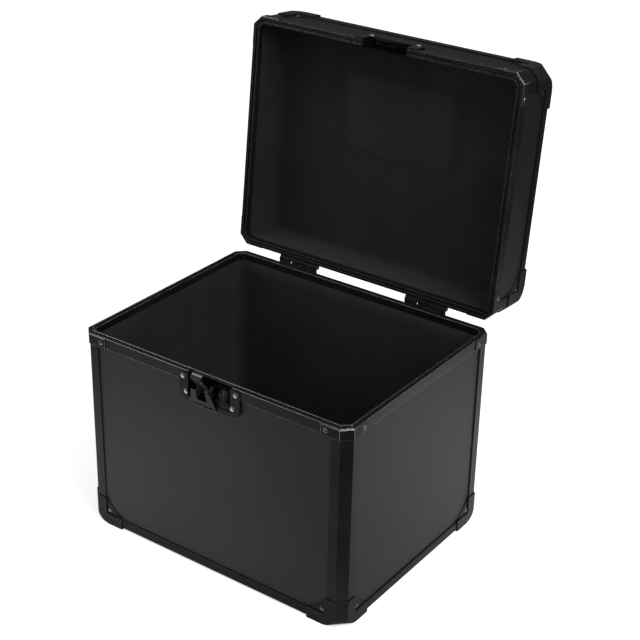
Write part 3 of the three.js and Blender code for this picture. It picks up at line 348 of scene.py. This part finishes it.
def mark_rivets(node, index):
    """Gives the faces of the node's rivet heads the material at that index."""
    tops = rivet_tops(node.data)
    if not tops:
        return 0
    tree = KDTree(len(tops))
    for number, top in enumerate(tops):
        tree.insert(top, number)
    tree.balance()
    points = [v.co for v in node.data.vertices]
    for polygon in node.data.polygons:
        near = [tree.find(points[v]) for v in polygon.vertices]
        same_head = len({found[1] for found in near}) == 1
        if same_head and all(found[2] < RIVET_REACH for found in near):
            polygon.material_index = index
    return len(tops)


def mark_recess_shade(node, axis, level, beyond, index):
    """Gives the faces that lie inside a recess, past a level along an axis, the material at that index, which
    carries painted shade.
    """
    points = [v.co for v in node.data.vertices]
    for polygon in node.data.polygons:
        middle = sum(points[v][axis] for v in polygon.vertices) / len(polygon.vertices)
        if (middle - level) * beyond > 0:
            polygon.material_index = index


def dress_frame():
    slots = {s["node"]: s["material_slot"] for s in frame["record"]["subparts"]}
    rivets = 0
    for name, node in frame["nodes"].items():
        slot = slots[name]
        plain = HOOK_HIGHLIT if name == "latch_hook" else MATERIALS[slot]
        # the bottom edge trims take the shaded copy of the trim finish
        if name.startswith("bottom_edge"):
            plain = LOW_EDGE_SHADED
        # the bevelled edges take a painted highlight material
        edge_highlight_material = CORNER_TRIM_HIGHLIGHT if "corner_trim" in name or "edge_" in name else EDGE_HIGHLIGHTS.get(slot, plain)
        latch = name in ("latch_base", "lid_strike")
        node.data.materials.clear()
        node.data.materials.append(plain)
        node.data.materials.append(edge_highlight_material)
        node.data.materials.append(RIVET if latch else DARK_RIVET)
        node.data.materials.append(RECESS_SHADE)
        # faces deep in the latch recess and low in the strike get the painted shade
        if name == "latch_base":
            mark_recess_shade(node, 1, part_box(name)[0].y + RECESS_SHADE_START, 1, 3)
        if name == "lid_strike":
            mark_recess_shade(node, 2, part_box(name)[1].z - RECESS_SHADE_START, -1, 3)
        if slot == "black_hardware":
            rivets += mark_rivets(node, 2)
        node.data.polygons.foreach_set("use_smooth", [True] * len(node.data.polygons))
        weld = node.modifiers.new("joined_faces", "WELD")
        weld.merge_threshold = WELD
        bevel = node.modifiers.new("soft_edges", "BEVEL")
        bevel.width = EDGE_ROUND
        bevel.segments = EDGE_STEPS
        bevel.limit_method = "ANGLE"
        bevel.angle_limit = math.radians(EDGE_ANGLE)
        bevel.use_clamp_overlap = True
        # the bevel faces of trims and hardware get the painted edge highlight material
        bevel.material = 1 if slot in EDGE_HIGHLIGHTS and name != "latch_hook" else -1
        smooth = node.modifiers.new("flat_faces_stay_flat", "WEIGHTED_NORMAL")
        smooth.mode = "FACE_AREA"
        smooth.keep_sharp = False
    print("rivet heads found:", rivets)


def plan_loop(inset, step, stops=()):
    """The case's inside outline at an inset, as points, rounded at its corners."""
    half_x, half_y = CASE_WIDTH / 2 - inset, CASE_DEPTH / 2 - inset
    radius = LINING_CORNER
    points = []
    corners = ((-1, -1), (1, -1), (1, 1), (-1, 1))
    ways = ((1, 0), (0, 1), (-1, 0), (0, -1))
    for number, ((sx, sy), (dx, dy)) in enumerate(zip(corners, ways)):
        length = 2 * ((half_x if dx else half_y) - radius)
        count = max(2, round(length / step))
        places = [length * k / count for k in range(count)]
        if number == 0:
            places += [length / 2 + stop for stop in stops]
        start = Vector((sx * half_x, sy * half_y)) + Vector((dx, dy)) * radius
        for place in sorted(places):
            points.append(start + Vector((dx, dy)) * place)
        ex, ey = sx + 2 * dx, sy + 2 * dy
        centre = Vector((ex * (half_x - radius), ey * (half_y - radius)))
        for k in range(CORNER_STEPS):
            angle = math.radians(90 * (number - 1 + k / CORNER_STEPS))
            points.append(centre + radius * Vector((math.cos(angle), math.sin(angle))))
    return points


def swelling(x, y):
    """How far the lid's lining stands out over the back of the handle dish, as a share."""
    across = abs(x) - (SWELL_HALF[0] - SWELL_CORNER)
    along = abs(y - SWELL_MIDDLE) - (SWELL_HALF[1] - SWELL_CORNER)
    outside = math.hypot(max(across, 0), max(along, 0)) + min(max(across, along), 0) - SWELL_CORNER
    share = 1 - min(max(outside / SWELL_FADE, 0), 1)
    return share * share * (3 - 2 * share)


def lining_skin(name, mouth, end, notch_end, swell):
    """A soft skin in the case's closed frame: round corners, a round turn at its closed end."""
    into = 1 if end > mouth else -1
    stops = (LATCH_CENTRE - RECESS_HALF, LATCH_CENTRE + RECESS_HALF)
    loop = plan_loop(LINING_FACE, LINING_STEP, stops)
    count = len(loop)
    depth = abs(end - mouth)
    straight = depth - LINING_TURN
    even = {straight * k / WALL_STEPS for k in range(WALL_STEPS)}
    levels = sorted({0.0, abs(notch_end - mouth), straight} | even)
    rows = []
    for level in levels:
        rows.append([(p.x, p.y, mouth + into * level) for p in loop])
    for k in range(1, TURN_STEPS + 1):
        angle = math.pi / 2 * k / TURN_STEPS
        pull = LINING_TURN * (1 - math.cos(angle))
        level = mouth + into * (straight + LINING_TURN * math.sin(angle))
        share_x = 1 - pull / (CASE_WIDTH / 2 - LINING_FACE)
        share_y = 1 - pull / (CASE_DEPTH / 2 - LINING_FACE)
        rows.append([(p.x * share_x, p.y * share_y, level) for p in loop])
    edge = rows[-1]
    middle = Vector((0, SWELL_MIDDLE if swell else 0))
    for k in range(1, FLOOR_RINGS):
        share = 1 - k / FLOOR_RINGS
        row = []
        for x, y, level in edge:
            px, py = middle.x + (x - middle.x) * share, middle.y + (y - middle.y) * share
            row.append((px, py, level - into * swell * swelling(px, py)))
        rows.append(row)
    mesh = bpy.data.meshes.new(name)
    points = [p for row in rows for p in row]
    tip = len(points)
    points.append((middle.x, middle.y, end - into * swell))
    faces = []
    for r in range(len(rows) - 1):
        low, high = r * count, (r + 1) * count
        for k in range(count):
            n = (k + 1) % count
            if r < len(levels) - 1 and levels[r + 1] <= abs(notch_end - mouth) + 1e-9:
                x = (loop[k].x + loop[n].x) / 2
                if loop[k].y < 0 and loop[n].y < 0 and stops[0] < x < stops[1]:
                    continue
            faces.append((low + k, low + n, high + n, high + k))
    last = (len(rows) - 1) * count
    faces += [(last + k, last + (k + 1) % count, tip) for k in range(count)]
    mesh.from_pydata(points, [], faces)
    mesh.polygons.foreach_set("use_smooth", [True] * len(mesh.polygons))
    skin = bpy.data.objects.new(name, mesh)
    bpy.context.scene.collection.objects.link(skin)
    used = bmesh.new()
    used.from_mesh(mesh)
    bmesh.ops.delete(used, geom=[v for v in used.verts if not v.link_faces], context="VERTS")
    bmesh.ops.recalc_face_normals(used, faces=used.faces)
    inward = sum(f.normal.z * f.calc_area() for f in used.faces) * into
    if inward > 0:
        bmesh.ops.reverse_faces(used, faces=used.faces)
    used.to_mesh(mesh)
    used.free()
    thick = skin.modifiers.new("thickness", "SOLIDIFY")
    thick.thickness = LINING_THICK
    thick.offset = -1.0
    mesh.materials.append(MATERIALS["lining"])
    return skin


def add_linings():
    hinge = next(j for j in frame["joints"] if j["name"] == "lid_hinge")
    pivot = Vector(hinge["pos_m"])
    shift = pivot.y - CASE_DEPTH / 2 - HINGE_OUT
    place = Matrix.Translation((0, shift, 0))
    body = lining_skin(
        "soft_lining_body", BODY_HEIGHT - RIM_INSIDE, FLOOR_FACE, BODY_HEIGHT - RECESS_DROP, 0.0,
    )
    body.data.transform(place)
    roof = BODY_HEIGHT + LID_HEIGHT - LINING_FACE
    lid = lining_skin(
        "soft_lining_lid", BODY_HEIGHT + RIM_INSIDE, roof, BODY_HEIGHT + STRIKE_RISE, SWELL_HEIGHT,
    )
    opened = Matrix.Rotation(-math.radians(OPEN_ANGLE), 4, "X")
    lid.data.transform(Matrix.Translation(pivot) @ opened @ Matrix.Translation(-pivot) @ place)
    for skin, node, carrier in ((body, "body_lining", "case_body"), (lid, "lid_lining", "lid")):
        skin.data.update()
        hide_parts(node)
        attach(skin, carrier)


def add_area(name, place, aim, size, power):
    data = bpy.data.lights.new(name, "AREA")
    data.shape = "RECTANGLE"
    data.size, data.size_y = size
    data.energy = power
    lamp = bpy.data.objects.new(name, data)
    lamp.location = place
    lamp.rotation_euler = (Vector(aim) - Vector(place)).to_track_quat("-Z", "Y").to_euler()
    bpy.context.scene.collection.objects.link(lamp)
    return lamp


def add_floor():
    half = FLOOR_HALF
    mesh = bpy.data.meshes.new("floor")
    corners = [(-half, -half, 0), (half, -half, 0), (half, half, 0), (-half, half, 0)]
    mesh.from_pydata(corners, [], [(0, 1, 2, 3)])
    floor = bpy.data.objects.new("floor", mesh)
    n = Nodes("floor")
    path = n.tree.nodes.new("ShaderNodeLightPath")
    pale = n.blend(n.noise(3.0), grey(0.90), grey(0.93))
    reach = n.tree.nodes.new("ShaderNodeVectorMath")
    reach.operation = "LENGTH"
    n.put(reach, 0, n.place)
    far = n.spread(reach.outputs["Value"], 0.0, 1.0, TABLE_NEAR, TABLE_FAR)
    aside = n.tree.nodes.new("ShaderNodeVectorMath")
    aside.operation = "DOT_PRODUCT"
    n.put(aside, 0, n.place)
    n.put(aside, 1, TABLE_EDGE_SIDE)
    edge = n.spread(aside.outputs["Value"], 0.0, 1.0, TABLE_EDGE_NEAR, TABLE_EDGE_FAR)
    most = n.tree.nodes.new("ShaderNodeMath")
    most.operation = "MAXIMUM"
    n.put(most, 0, far)
    n.put(most, 1, edge)
    dim = n.tree.nodes.new("ShaderNodeMath")
    dim.operation = "MULTIPLY"
    n.put(dim, 0, most.outputs[0])
    n.put(dim, 1, path.outputs["Is Glossy Ray"])
    n.set(Base_Color=n.blend(dim.outputs[0], pale, grey(0.05)), Roughness=0.9)
    n.set(Specular_IOR_Level=0.1)
    n.set(Emission_Color=(1, 1, 1, 1))
    n.set(Emission_Strength=n.spread(path.outputs["Is Camera Ray"], 0.0, TABLE_LIFT))
    mesh.materials.append(n.material)
    bpy.context.scene.collection.objects.link(floor)


def add_world():
    world = bpy.data.worlds.new("studio")
    bpy.context.scene.world = world
    world.use_nodes = True
    tree = world.node_tree
    background = tree.nodes["Background"]
    path = tree.nodes.new("ShaderNodeLightPath")
    seen = tree.nodes.new("ShaderNodeMath")
    seen.operation = "MAXIMUM"
    tree.links.new(path.outputs["Is Camera Ray"], seen.inputs[0])
    tree.links.new(path.outputs["Is Transmission Ray"], seen.inputs[1])
    glossy = tree.nodes.new("ShaderNodeMapRange")
    glossy.inputs["To Min"].default_value = STUDIO_LIGHT
    glossy.inputs["To Max"].default_value = STUDIO_REFLECTED
    tree.links.new(path.outputs["Is Glossy Ray"], glossy.inputs["Value"])
    level = tree.nodes.new("ShaderNodeMapRange")
    level.inputs["To Max"].default_value = 1.0
    tree.links.new(seen.outputs[0], level.inputs["Value"])
    tree.links.new(glossy.outputs["Result"], level.inputs["To Min"])
    background.inputs["Color"].default_value = (1, 1, 1, 1)
    tree.links.new(level.outputs[0], background.inputs["Strength"])


add_camera()
dress_frame()
add_linings()
add_floor()
add_world()
add_area("key", *KEY)
add_area("fill", *FILL)
bpy.context.scene.view_settings.view_transform = "Standard"
